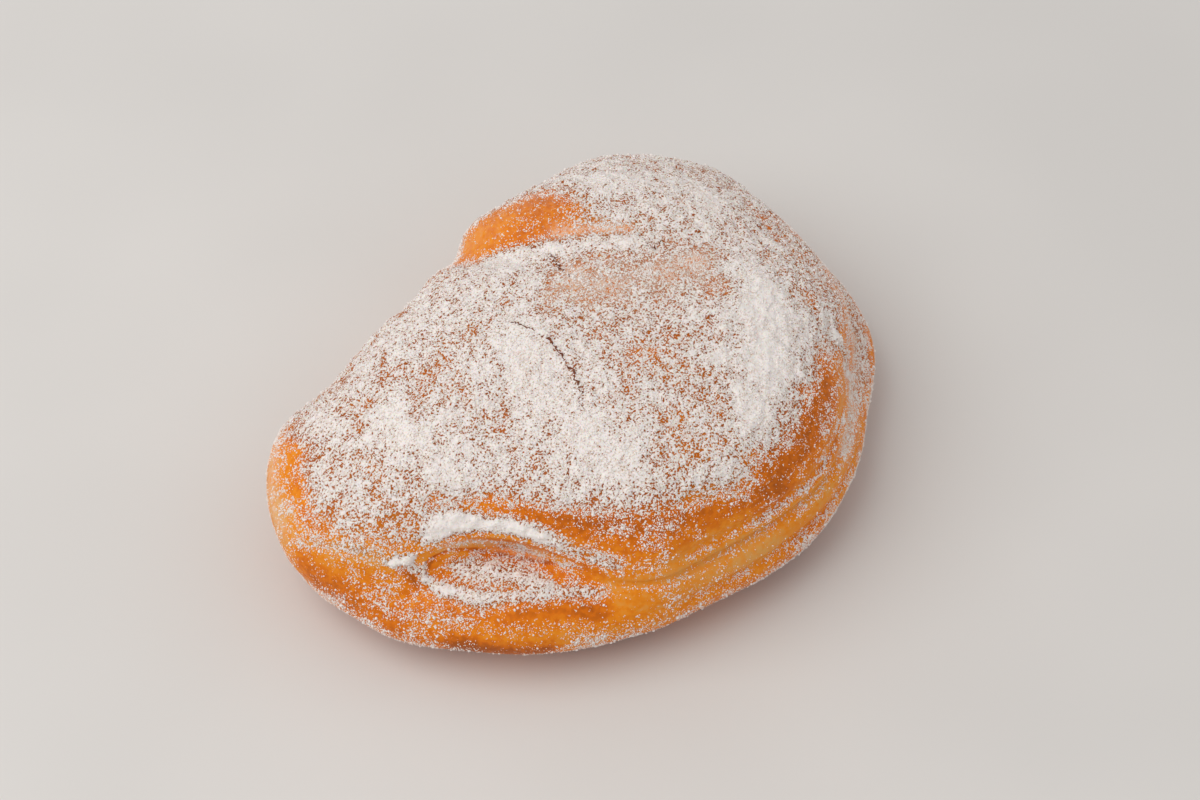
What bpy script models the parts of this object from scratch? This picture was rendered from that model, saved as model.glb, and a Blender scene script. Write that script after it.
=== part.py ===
"""A sweet fried panzerotto: a round of dough folded into a turnover, in one piece.

Metres, +Z up. It rests on its flattened underside, with the fold at +Y and the seam at -Y.
The body is two leaves of dough, one on the other. Each is a puffed cushion over the same
half-moon outline, and they melt into each other everywhere but at the mouth and the ledge.
"""

import math
from typing import NamedTuple

import bmesh
import bpy
import numpy as np

# Driving dimensions.
HEIGHT = 0.0485  # crown above the surface it rests on
OUTLINE = (  # plan radii of the lower leaf, at equal turns from +X towards +Y
    0.0690, 0.0729, 0.0680, 0.0496, 0.0507, 0.0482, 0.0605, 0.0724,
    0.0716, 0.0632, 0.0559, 0.0510, 0.0521, 0.0554, 0.0589, 0.0667,
)

# The lower leaf, whose widest level is low and whose underside is flattened by its weight.
LOWER_MIDDLE = 0.0130  # height of its widest level
LOWER_RISE = 0.0145
LOWER_DROP = 0.0140
LOWER_PLAN_POWER = 3.0
LOWER_SIDE_POWER = 2.2

# The upper leaf, which stands back from the lower one along the seam.
UPPER_MIDDLE = 0.0240
UPPER_DROP = 0.0170
UPPER_PLAN_POWER = 2.6
UPPER_SIDE_POWER = 2.1
SEAM_SETBACK = 0.0030
MOUTH_SETBACK = 0.0145
MOUTH_LIFT = 0.0070  # how far the upper leaf's widest level rises there
LEDGE_SETBACK = 0.0050
LEDGE_LIFT = 0.0030
NOSE_OVERHANG = 0.0041
LIP_ABOVE = 0.0008  # how far the lip's swell lies over the leaf's widest level
LIP_BAND = 0.0018
LIP_SWELL = 0.0012

# How widely the leaves melt into each other.
BLEND = 0.0100
NOSE_BLEND = 0.0080
MOUTH_BLEND_LOSS = 0.0085
LEDGE_BLEND_LOSS = 0.0045

# The valley that parts the crown from the lower mound behind it, from the table up and over.
VALLEY = (
    (0.0049, 0.0560, 0.0080), (0.0010, 0.0500, 0.0240), (-0.0013, 0.0434, 0.0370),
    (-0.0015, 0.0364, 0.0435), (0.0047, 0.0263, 0.0490), (0.0150, 0.0151, 0.0515),
    (0.0262, 0.0063, 0.0505),
)
VALLEY_DEPTH = 0.0042
VALLEY_BAND = 0.0055
VALLEY_FADE = (0.55, 0.45)  # share of its run over which it deepens, then dies out

WAVINESS = 0.0004  # unevenness of the puffed skin
WAVE_LENGTHS = (0.031, 0.023, 0.027)

# The mesh.
CUTS = 27  # along each edge of the starting cube
INNER_POINT = (0.0, 0.0, 0.0220)  # every part of the skin can be seen from here
PROPORTIONS = (0.075, 0.056, 0.028)  # half sizes that spread the mesh evenly over the skin
SEARCH = (0.006, 0.110)  # nearest and furthest that the skin lies from the inner point
STEPS = 52
HALVINGS = 16
SURFACE_TOLERANCE = 2e-6


class Stretch(NamedTuple):
    """Part of the way round, in degrees from +X: its middle, and how far it fades each way."""

    middle: float
    back: float
    forward: float

    def share(self, azimuth, power=1.0):
        turn = (azimuth - self.middle + 180.0) % 360.0 - 180.0
        off = np.abs(turn) / np.where(turn < 0.0, self.back, self.forward)
        return (1.0 - np.clip(off, 0.0, 1.0) ** 2) ** (2.0 * power)


MOUTH = Stretch(-164.0, 32.0, 46.0)
LIP = Stretch(-164.0, 32.0, 40.0)
MOUTH_GAP = Stretch(-160.0, 20.0, 40.0)
LEDGE = Stretch(-16.0, 62.0, 62.0)
NOSE = Stretch(148.0, 48.0, 38.0)
NOSE_MELT = Stretch(172.0, 50.0, 26.0)


class Crease(NamedTuple):
    """A shallow crease at one level of the side."""

    stretch: Stretch
    height: float
    band: float
    depth: float


CREASES = (
    Crease(Stretch(-92.0, 44.0, 44.0), 0.0240, 0.0013, 0.0013),
    Crease(Stretch(-88.0, 40.0, 40.0), 0.0285, 0.0014, 0.0008),
    Crease(Stretch(-88.0, 42.0, 42.0), 0.0170, 0.0016, 0.0010),
)


class Mound(NamedTuple):
    """A swelling of the skin round a point."""

    centre: tuple
    spread: float
    swell: float


MOUNDS = (
    Mound((0.0167, 0.0415, 0.0372), 0.022, 0.0035),
    Mound((0.038, 0.022, 0.044), 0.015, 0.0012),
    Mound((-0.0547, 0.0381, 0.0273), 0.012, 0.0024),
    Mound((-0.0437, 0.0416, 0.0309), 0.012, -0.0026),
)


def closed_spline(values, turns):
    """A smooth closed curve through values that stand at equal turns, read at other turns."""
    values = np.asarray(values)
    place = (turns % 1.0) * len(values)
    start = np.floor(place).astype(int) % len(values)
    t = place - np.floor(place)
    a, b, c, d = (values[(start + k) % len(values)] for k in (-1, 0, 1, 2))
    return 0.5 * (2 * b + (c - a) * t + (2 * a - 5 * b + 4 * c - d) * t**2 + (3 * b - a - 3 * c + d) * t**3)


def rounded(values, passes=6):
    """The same closed outline with its corners worn away, as it is near the crown."""
    values = np.asarray(values)
    for _ in range(passes):
        values = (np.roll(values, 1) + 2 * values + np.roll(values, -1)) / 4
    return values


def smooth_min(a, b, width):
    share = np.clip(0.5 + 0.5 * (b - a) / width, 0.0, 1.0)
    return b + (a - b) * share - width * share * (1.0 - share)


def cushion(across, up, plan_power, side_power, radius, half_height):
    """Rough distance outside a puffed cushion, from the shares of its radius and half height."""
    side = across**plan_power
    top = up**side_power
    total = np.maximum(side + top, 1e-9)
    reach = total ** (total / (plan_power * side + side_power * top + 1e-9))
    slope = np.hypot(across / reach / radius, up / reach / half_height)
    return (reach - 1.0) * np.minimum(1.0 / np.maximum(slope, 1e-9), radius)


def along(points, path):
    """Distance of each point from a path, and the share of the path's run at its nearest spot."""
    path = np.asarray(path)
    runs = np.linalg.norm(np.diff(path, axis=0), axis=1)
    starts = np.concatenate([[0.0], np.cumsum(runs)])
    nearest = np.full(len(points), np.inf)
    share = np.zeros(len(points))
    for begin, end, run, start in zip(path[:-1], path[1:], runs, starts):
        t = np.clip((points - begin) @ (end - begin) / run**2, 0.0, 1.0)
        gap = np.linalg.norm(points - begin - t[:, None] * (end - begin), axis=1)
        closer = gap < nearest
        nearest = np.where(closer, gap, nearest)
        share = np.where(closer, (start + t * run) / starts[-1], share)
    return nearest, share


def fade(share, rise, fall):
    """0 at both ends of a run and 1 between them, with eased ends."""
    head = np.clip(share / rise, 0.0, 1.0)
    tail = np.clip((1.0 - share) / fall, 0.0, 1.0)
    return head**2 * (3 - 2 * head) * tail**2 * (3 - 2 * tail)


def waves(points):
    """Gentle unevenness, from three crossed waves."""
    x, y, z = (2 * math.pi * points / np.asarray(WAVE_LENGTHS)).T
    return (np.sin(x + 0.7 * y) + np.sin(y - 0.5 * z + 1.3) + np.sin(z + 0.8 * x + 2.1)) / 3


def outside(points, outline=OUTLINE, height=HEIGHT, overhang=NOSE_OVERHANG):
    """Rough distance of each point outside the dough, negative inside it."""
    x, y, z = points.T
    azimuth = np.degrees(np.arctan2(y, x))
    radius = np.hypot(x, y)
    lower_radius = closed_spline(outline, azimuth / 360.0)
    level = z - LOWER_MIDDLE
    half = np.where(level > 0, LOWER_RISE, LOWER_DROP)
    lower = cushion(
        radius / lower_radius, np.abs(level) / half, LOWER_PLAN_POWER, LOWER_SIDE_POWER, lower_radius, half
    )

    middle = UPPER_MIDDLE + MOUTH_LIFT * LIP.share(azimuth) + LEDGE_LIFT * LEDGE.share(azimuth)
    level = z - middle
    half = np.where(level > 0, height - middle, UPPER_DROP)
    up = np.abs(level) / half
    setback = SEAM_SETBACK + MOUTH_SETBACK * MOUTH.share(azimuth) + LEDGE_SETBACK * LEDGE.share(azimuth)
    setback = setback - overhang * NOSE.share(azimuth)
    crown_radius = closed_spline(rounded(outline), azimuth / 360.0)
    crown_share = np.clip(up, 0.0, 1.0) ** 1.5
    upper_radius = lower_radius + (crown_radius - lower_radius) * crown_share - setback
    upper = cushion(radius / upper_radius, up, UPPER_PLAN_POWER, UPPER_SIDE_POWER, upper_radius, half)

    blend = BLEND + NOSE_BLEND * NOSE_MELT.share(azimuth)
    blend = blend - MOUTH_BLEND_LOSS * MOUTH_GAP.share(azimuth)
    blend = np.maximum(blend - LEDGE_BLEND_LOSS * LEDGE.share(azimuth), 0.0015)
    skin = smooth_min(lower, upper, blend)

    gap, share = along(points, VALLEY)
    skin = skin + VALLEY_DEPTH * fade(share, *VALLEY_FADE) * np.exp(-((gap / VALLEY_BAND) ** 2))
    for mound in MOUNDS:
        off = np.linalg.norm(points - np.asarray(mound.centre), axis=1)
        skin = skin - mound.swell * np.exp(-((off / mound.spread) ** 2))
    lip = np.exp(-(((z - middle - LIP_ABOVE) / LIP_BAND) ** 2))
    skin = skin - LIP_SWELL * MOUTH_GAP.share(azimuth) * lip
    for crease in CREASES:
        cut = crease.depth * crease.stretch.share(azimuth, 0.5)
        skin = skin + cut * np.exp(-(((z - crease.height) / crease.band) ** 2))
    skin = skin + WAVINESS * waves(points)
    return np.maximum(skin, -z)


def skin_points(directions, field=outside):
    """Where rays from the inner point leave the dough, by stepping inwards and then halving."""
    start = np.asarray(INNER_POINT)
    far = np.full(len(directions), SEARCH[1])
    near = np.full(len(directions), SEARCH[0])
    searching = np.ones(len(directions), bool)
    for distance in np.linspace(SEARCH[1], SEARCH[0], STEPS):
        rays = np.nonzero(searching)[0]
        if not len(rays):
            break
        is_inside = field(start + directions[rays] * distance) < 0
        near[rays[is_inside]] = distance
        far[rays[~is_inside]] = distance
        searching[rays[is_inside]] = False
    for _ in range(HALVINGS):
        middle = (near + far) / 2
        is_inside = field(start + directions * middle[:, None]) < 0
        near = np.where(is_inside, middle, near)
        far = np.where(is_inside, far, middle)
    points = start + directions * near[:, None]
    points[np.abs(points[:, 2]) < SURFACE_TOLERANCE, 2] = 0.0
    return points


def even_directions(cube_points):
    """Directions through the points of a cube's faces, spread evenly over a flattened ball."""
    directions = np.tan(np.asarray(cube_points) * math.pi / 4) * np.asarray(PROPORTIONS)
    return directions / np.linalg.norm(directions, axis=1)[:, None]


def dough_mesh():
    """A finely divided cube, each of whose points is moved out to the skin of the dough."""
    shape = bmesh.new()
    bmesh.ops.create_cube(shape, size=2.0)
    bmesh.ops.subdivide_edges(shape, edges=shape.edges[:], cuts=CUTS, use_grid_fill=True)
    points = skin_points(even_directions([vert.co[:] for vert in shape.verts]))
    low, high = points.min(axis=0), points.max(axis=0)
    points = points - [(low[0] + high[0]) / 2, (low[1] + high[1]) / 2, low[2]]
    for vert, point in zip(shape.verts, points):
        vert.co = point
    bmesh.ops.triangulate(shape, faces=shape.faces[:])
    bmesh.ops.recalc_face_normals(shape, faces=shape.faces[:])
    mesh = bpy.data.meshes.new("dough")
    shape.to_mesh(mesh)
    shape.free()
    mesh.shade_smooth()
    return mesh


def crust_material():
    material = bpy.data.materials.new("crust")
    material.use_nodes = True
    shader = material.node_tree.nodes["Principled BSDF"]
    shader.inputs["Base Color"].default_value = (0.60, 0.24, 0.055, 1.0)
    shader.inputs["Roughness"].default_value = 0.55
    shader.inputs["Metallic"].default_value = 0.0
    return material


def clear_scene():
    for thing in list(bpy.data.objects):
        bpy.data.objects.remove(thing, do_unlink=True)


def main():
    clear_scene()
    group = bpy.data.collections.new("panzerotto")
    bpy.context.scene.collection.children.link(group)
    dough = bpy.data.objects.new("dough", dough_mesh())
    dough.data.materials.append(crust_material())
    group.objects.link(dough)


if __name__ == "__main__":
    main()
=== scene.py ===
"""The looks of a sweet fried panzerotto, dusted with icing sugar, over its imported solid.

Metres, +Z up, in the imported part's own frame: it rests on z = 0 with its fold at +Y, its seam
and mouth at -Y and its nose at -X. The crust repeats the part's form with a finer mesh. The
sugar lies on it as a coat with gaps, as drifts in the mouth, and as loose grains of four sizes.
"""

import logging
import math
from dataclasses import dataclass
from enum import Enum

import bmesh
import bpy
import numpy as np
from mathutils import Matrix, Vector, noise
from mathutils.bvhtree import BVHTree


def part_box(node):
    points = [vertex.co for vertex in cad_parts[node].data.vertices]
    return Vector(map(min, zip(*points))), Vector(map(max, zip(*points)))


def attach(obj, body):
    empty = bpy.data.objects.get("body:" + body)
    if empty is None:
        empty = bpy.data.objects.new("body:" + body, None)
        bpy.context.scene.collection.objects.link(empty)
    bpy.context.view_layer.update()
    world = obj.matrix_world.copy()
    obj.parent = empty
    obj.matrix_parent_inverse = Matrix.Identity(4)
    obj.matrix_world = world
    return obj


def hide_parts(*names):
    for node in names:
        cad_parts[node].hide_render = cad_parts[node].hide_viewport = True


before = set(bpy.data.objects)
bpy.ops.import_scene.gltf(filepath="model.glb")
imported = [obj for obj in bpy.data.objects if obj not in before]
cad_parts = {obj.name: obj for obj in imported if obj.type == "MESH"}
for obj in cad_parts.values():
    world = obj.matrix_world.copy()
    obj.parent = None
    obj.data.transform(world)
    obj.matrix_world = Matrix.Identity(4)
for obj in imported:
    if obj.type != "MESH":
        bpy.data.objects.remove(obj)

MM = 0.001
log = logging.getLogger("panzerotto")

Point = tuple[float, float, float]
Pixel = tuple[int, int]
Colour = tuple[float, float, float, float]


def eased(value: np.ndarray) -> np.ndarray:
    """A value held from 0 to 1, with soft ends."""
    held = np.clip(value, 0.0, 1.0)
    return held * held * (3.0 - 2.0 * held)


class Pattern(Enum):
    """What a random pattern is for; its number sets it apart from the others."""

    PATCHES = 1
    SMALL_PATCHES = 2
    MOUNDS = 3
    CLOTS = 4
    STICKING = 5
    ROUGHNESS = 6
    DRIFTS = 8
    EDGES = 9
    GATHERING = 20
    CLUSTERS = 21
    WANDER = 31
    SMALL_WANDER = 32
    CRACK_WIDTH = 33


def noise_at(points: np.ndarray, cell: float, pattern: Pattern) -> np.ndarray:
    """Smooth random values, mostly from -1 to 1, at points of the object.

    Args:
        points: Places, one row each, in metres.
        cell: The size of the pattern's cells, in metres.
        pattern: Which pattern is read.

    Returns:
        One value for each point.
    """
    moved = points / cell + np.array([17.3, 5.1, 11.7]) * pattern.value
    return np.fromiter((noise.noise(spot) for spot in moved), float, len(moved)) * 2.0


class Laying(Enum):
    """What a stroke does to the sugar or the crust under it."""

    DRIFT = "sugar heaped on what lies there"
    WHITER = "sugar brought nearer to a full cover, which still has pits"
    BARE = "less sugar"
    # Browner crust: real browning from frying, and painted shade in the mouth's crease and corner, the fold
    # on the right and the edge under the mouth.
    BROWNED_AND_SHADED = "browner crust"
    PALE = "paler crust"
    FILM = "sugar melted to a thin film"
    DENT = "a groove in the crust, as deep in millimetres as the stroke's amount"
    CRACK = "a crack through the sugar"


@dataclass(frozen=True)
class Stretch:
    """Part of the way round, in degrees from +X: its middle, and how far it fades each way."""

    middle: float
    back: float
    forward: float

    def share(self, azimuth: np.ndarray, power: float = 1.0) -> np.ndarray:
        """How much of the stretch's effect is felt at each azimuth, from 0 to 1.

        Args:
            azimuth: Turns from +X, in degrees.
            power: How sharply the effect falls off.

        Returns:
            One share for each azimuth.
        """
        turn = (azimuth - self.middle + 180.0) % 360.0 - 180.0
        off = np.abs(turn) / np.where(turn < 0.0, self.back, self.forward)
        return (1.0 - np.clip(off, 0.0, 1.0) ** 2) ** (2.0 * power)


@dataclass(frozen=True)
class Crease:
    """A shallow crease at one level of the side."""

    stretch: Stretch
    height: float
    band: float
    depth: float


@dataclass(frozen=True)
class Mound:
    """A swelling of the skin round a point."""

    centre: Point
    spread: float
    swell: float


@dataclass(frozen=True)
class DoughForm:
    """The form of the folded dough: two puffed leaves, one on the other, melted together.

    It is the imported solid's own form, in the frame that it was drawn in.
    """

    height: float = 0.0485
    outline: tuple[float, ...] = (
        0.0690, 0.0729, 0.0680, 0.0496, 0.0507, 0.0482, 0.0605, 0.0724,
        0.0716, 0.0632, 0.0559, 0.0510, 0.0521, 0.0554, 0.0589, 0.0667,
    )
    lower_middle: float = 0.0130
    lower_rise: float = 0.0145
    lower_drop: float = 0.0140
    lower_powers: tuple[float, float] = (3.0, 2.2)
    upper_middle: float = 0.0240
    upper_drop: float = 0.0170
    upper_powers: tuple[float, float] = (2.6, 2.1)
    mouth: Stretch = Stretch(-164.0, 32.0, 46.0)
    lip: Stretch = Stretch(-164.0, 32.0, 40.0)
    mouth_gap: Stretch = Stretch(-160.0, 20.0, 40.0)
    ledge: Stretch = Stretch(-16.0, 62.0, 62.0)
    nose: Stretch = Stretch(148.0, 48.0, 38.0)
    nose_melt: Stretch = Stretch(172.0, 50.0, 26.0)
    seam_setback: float = 0.0030
    mouth_setback: float = 0.0145
    mouth_lift: float = 0.0070
    ledge_setback: float = 0.0050
    ledge_lift: float = 0.0030
    nose_overhang: float = 0.0041
    lip_above: float = 0.0008
    lip_band: float = 0.0018
    lip_swell: float = 0.0012
    blend: float = 0.0100
    nose_blend: float = 0.0080
    mouth_blend_loss: float = 0.0085
    ledge_blend_loss: float = 0.0045
    least_blend: float = 0.0015
    valley: tuple[Point, ...] = (
        (0.0049, 0.0560, 0.0080), (0.0010, 0.0500, 0.0240), (-0.0013, 0.0434, 0.0370),
        (-0.0015, 0.0364, 0.0435), (0.0047, 0.0263, 0.0490), (0.0150, 0.0151, 0.0515),
        (0.0262, 0.0063, 0.0505),
    )
    valley_depth: float = 0.0042
    valley_band: float = 0.0055
    valley_fade: tuple[float, float] = (0.55, 0.45)
    waviness: float = 0.0004
    wave_lengths: Point = (0.031, 0.023, 0.027)
    creases: tuple[Crease, ...] = (
        Crease(Stretch(-92.0, 44.0, 44.0), 0.0240, 0.0013, 0.0013),
        Crease(Stretch(-88.0, 40.0, 40.0), 0.0285, 0.0014, 0.0008),
        Crease(Stretch(-88.0, 42.0, 42.0), 0.0170, 0.0016, 0.0010),
    )
    mounds: tuple[Mound, ...] = (
        Mound((0.0167, 0.0415, 0.0372), 0.022, 0.0035),
        Mound((0.038, 0.022, 0.044), 0.015, 0.0012),
        Mound((-0.0547, 0.0381, 0.0273), 0.012, 0.0024),
        Mound((-0.0437, 0.0416, 0.0309), 0.012, -0.0026),
    )
    inner_point: Point = (0.0, 0.0, 0.0220)
    proportions: Point = (0.075, 0.056, 0.028)
    search: tuple[float, float] = (0.006, 0.110)
    steps: int = 52
    halvings: int = 14

    @staticmethod
    def closed_spline(values: np.ndarray, turns: np.ndarray) -> np.ndarray:
        """A smooth closed curve through values at equal turns, read at other turns.

        Args:
            values: The values that the curve passes through.
            turns: Where it is read, as shares of a whole turn.

        Returns:
            One value for each turn.
        """
        values = np.asarray(values)
        place = (turns % 1.0) * len(values)
        start = np.floor(place).astype(int) % len(values)
        t = place - np.floor(place)
        a, b, c, d = (values[(start + k) % len(values)] for k in (-1, 0, 1, 2))
        bend = 2 * a - 5 * b + 4 * c - d
        twist = 3 * b - a - 3 * c + d
        return 0.5 * (2 * b + (c - a) * t + bend * t**2 + twist * t**3)

    @staticmethod
    def rounded(values: np.ndarray, passes: int = 6) -> np.ndarray:
        """The same closed outline with its corners worn away.

        Args:
            values: The outline's radii at equal turns.
            passes: How often it is worn.

        Returns:
            The worn radii.
        """
        values = np.asarray(values)
        for _ in range(passes):
            values = (np.roll(values, 1) + 2 * values + np.roll(values, -1)) / 4
        return values

    @staticmethod
    def smooth_min(a: np.ndarray, b: np.ndarray, width: np.ndarray) -> np.ndarray:
        """The lesser of two fields, melted together where they are within a width.

        Args:
            a: The first field.
            b: The second field.
            width: How widely they melt.

        Returns:
            The joined field.
        """
        share = np.clip(0.5 + 0.5 * (b - a) / width, 0.0, 1.0)
        return b + (a - b) * share - width * share * (1.0 - share)

    @staticmethod
    def cushion(
        across: np.ndarray,
        up: np.ndarray,
        powers: tuple[float, float],
        radius: np.ndarray,
        half_height: np.ndarray,
    ) -> np.ndarray:
        """Rough distance outside a puffed cushion.

        Args:
            across: Share of the cushion's radius at each point.
            up: Share of its half height.
            powers: How square it is in plan and from the side.
            radius: Its radius towards each point.
            half_height: Its half height on each point's side.

        Returns:
            Distances in metres, negative inside.
        """
        side = across ** powers[0]
        top = up ** powers[1]
        total = np.maximum(side + top, 1e-9)
        reach = total ** (total / (powers[0] * side + powers[1] * top + 1e-9))
        slope = np.hypot(across / reach / radius, up / reach / half_height)
        return (reach - 1.0) * np.minimum(1.0 / np.maximum(slope, 1e-9), radius)

    def upper_level(self, azimuth: np.ndarray) -> np.ndarray:
        """The height of the upper leaf's widest level at each azimuth."""
        at_mouth = self.upper_middle + self.mouth_lift * self.lip.share(azimuth)
        return at_mouth + self.ledge_lift * self.ledge.share(azimuth)

    def leaves(self, points: np.ndarray) -> np.ndarray:
        """Rough distance outside the two melted leaves, before valleys, mounds and creases."""
        x, y, z = points.T
        azimuth = np.degrees(np.arctan2(y, x))
        radius = np.hypot(x, y)
        lower_radius = self.closed_spline(self.outline, azimuth / 360.0)
        level = z - self.lower_middle
        half = np.where(level > 0, self.lower_rise, self.lower_drop)
        up = np.abs(level) / half
        lower = self.cushion(radius / lower_radius, up, self.lower_powers, lower_radius, half)

        mouth, ledge = self.mouth.share(azimuth), self.ledge.share(azimuth)
        middle = self.upper_level(azimuth)
        level = z - middle
        half = np.where(level > 0, self.height - middle, self.upper_drop)
        up = np.abs(level) / half
        setback = self.seam_setback + self.mouth_setback * mouth + self.ledge_setback * ledge
        setback = setback - self.nose_overhang * self.nose.share(azimuth)
        crown_radius = self.closed_spline(self.rounded(self.outline), azimuth / 360.0)
        crown_share = np.clip(up, 0.0, 1.0) ** 1.5
        upper_radius = lower_radius + (crown_radius - lower_radius) * crown_share - setback
        upper = self.cushion(radius / upper_radius, up, self.upper_powers, upper_radius, half)

        blend = self.blend + self.nose_blend * self.nose_melt.share(azimuth)
        blend = blend - self.mouth_blend_loss * self.mouth_gap.share(azimuth)
        blend = np.maximum(blend - self.ledge_blend_loss * ledge, self.least_blend)
        return self.smooth_min(lower, upper, blend)

    def outside(self, points: np.ndarray) -> np.ndarray:
        """Rough distance of each point outside the dough, negative inside it."""
        azimuth = np.degrees(np.arctan2(points[:, 1], points[:, 0]))
        z = points[:, 2]
        skin = self.leaves(points)
        gap, share = along(points, np.asarray(self.valley))
        ends = eased(share / self.valley_fade[0]) * eased((1.0 - share) / self.valley_fade[1])
        skin = skin + self.valley_depth * ends * np.exp(-((gap / self.valley_band) ** 2))
        for mound in self.mounds:
            off = np.linalg.norm(points - np.asarray(mound.centre), axis=1)
            skin = skin - mound.swell * np.exp(-((off / mound.spread) ** 2))
        lip = np.exp(-(((z - self.upper_level(azimuth) - self.lip_above) / self.lip_band) ** 2))
        skin = skin - self.lip_swell * self.mouth_gap.share(azimuth) * lip
        for crease in self.creases:
            cut = crease.depth * crease.stretch.share(azimuth, 0.5)
            skin = skin + cut * np.exp(-(((z - crease.height) / crease.band) ** 2))
        x, y, z = (2 * math.pi * points / np.asarray(self.wave_lengths)).T
        wave = (np.sin(x + 0.7 * y) + np.sin(y - 0.5 * z + 1.3) + np.sin(z + 0.8 * x + 2.1)) / 3
        return np.maximum(skin + self.waviness * wave, -points[:, 2])

    def directions(self, cube_points: np.ndarray) -> np.ndarray:
        """Directions through points of a cube's faces, spread evenly over a flattened ball."""
        spread = np.tan(cube_points * math.pi / 4) * np.asarray(self.proportions)
        return spread / np.linalg.norm(spread, axis=1)[:, None]

    def skin(self, directions: np.ndarray) -> np.ndarray:
        """Where rays from the inner point leave the dough.

        Args:
            directions: Unit directions, one row each.

        Returns:
            The places on the skin, one row each.
        """
        start = np.asarray(self.inner_point)
        near = np.full(len(directions), self.search[0])
        far = np.full(len(directions), self.search[1])
        searching = np.ones(len(directions), bool)
        for distance in np.linspace(self.search[1], self.search[0], self.steps):
            rays = np.nonzero(searching)[0]
            if not len(rays):
                break
            is_inside = self.outside(start + directions[rays] * distance) < 0
            near[rays[is_inside]] = distance
            far[rays[~is_inside]] = distance
            searching[rays[is_inside]] = False
        for _ in range(self.halvings):
            middle = (near + far) / 2
            is_inside = self.outside(start + directions * middle[:, None]) < 0
            near = np.where(is_inside, middle, near)
            far = np.where(is_inside, far, middle)
        return start + directions * near[:, None]


def along(points: np.ndarray, path: np.ndarray) -> tuple[np.ndarray, np.ndarray]:
    """How far points lie from a path, and where along it their nearest spot is.

    Args:
        points: Places, one row each.
        path: The path's own points, one row each.

    Returns:
        Each point's distance from the path, and the share of the path's run at that spot.
    """
    runs = np.maximum(np.linalg.norm(np.diff(path, axis=0), axis=1), 1e-9)
    starts = np.concatenate([[0.0], np.cumsum(runs)])
    nearest = np.full(len(points), np.inf)
    share = np.zeros(len(points))
    for begin, end, run, start in zip(path[:-1], path[1:], runs, starts):
        t = np.clip((points - begin) @ (end - begin) / run**2, 0.0, 1.0)
        gap = np.linalg.norm(points - begin - t[:, None] * (end - begin), axis=1)
        closer = gap < nearest
        nearest = np.where(closer, gap, nearest)
        share = np.where(closer, (start + t * run) / starts[-1], share)
    return nearest, share


@dataclass(frozen=True)
class PhotoView:
    """The photograph's viewing angle, as a camera."""

    azimuth: float = -46.0
    elevation: float = 52.0
    lens: float = 70.0
    sensor: float = 36.0
    distance: float = 0.5133
    aim: Point = (0.0018, 0.0010, 0.0220)
    width: int = 1200
    height: int = 800

    def back(self) -> Vector:
        """The direction from the aim to the camera."""
        turn, lift = math.radians(self.azimuth), math.radians(self.elevation)
        return Vector((math.sin(turn) * math.cos(lift), -math.cos(turn) * math.cos(lift), math.sin(lift)))

    def place(self) -> Vector:
        """Where the camera stands."""
        return Vector(self.aim) + self.back() * self.distance

    def ray(self, pixel: Pixel) -> Vector:
        """The direction from the camera through a pixel of the photograph.

        Args:
            pixel: Its place across and down the photograph.

        Returns:
            A unit direction.
        """
        reach = self.lens / self.sensor * self.width
        right = Vector((0.0, 0.0, 1.0)).cross(self.back()).normalized()
        up = self.back().cross(right)
        across = (pixel[0] - self.width / 2) / reach
        down = (pixel[1] - self.height / 2) / reach
        return (right * across - up * down - self.back()).normalized()

    def build(self) -> bpy.types.Object:
        """The camera, set as the scene's own."""
        data = bpy.data.cameras.new("camera")
        data.lens = self.lens
        data.sensor_width = self.sensor
        data.clip_start = 0.01
        camera = placed("camera", data)
        camera.location = self.place()
        camera.rotation_mode = "QUATERNION"
        camera.rotation_quaternion = (-self.back()).to_track_quat("-Z", "Y")
        bpy.context.scene.camera = camera
        return camera


@dataclass(frozen=True)
class Stroke:
    """A brush stroke over the surface, along pixels of the photograph.

    Its width is in millimetres on the object, from its middle to where it has faded to a third.
    """

    laying: Laying
    width: float
    amount: float
    path: tuple[Pixel, ...]
    tapered: bool = False


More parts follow.
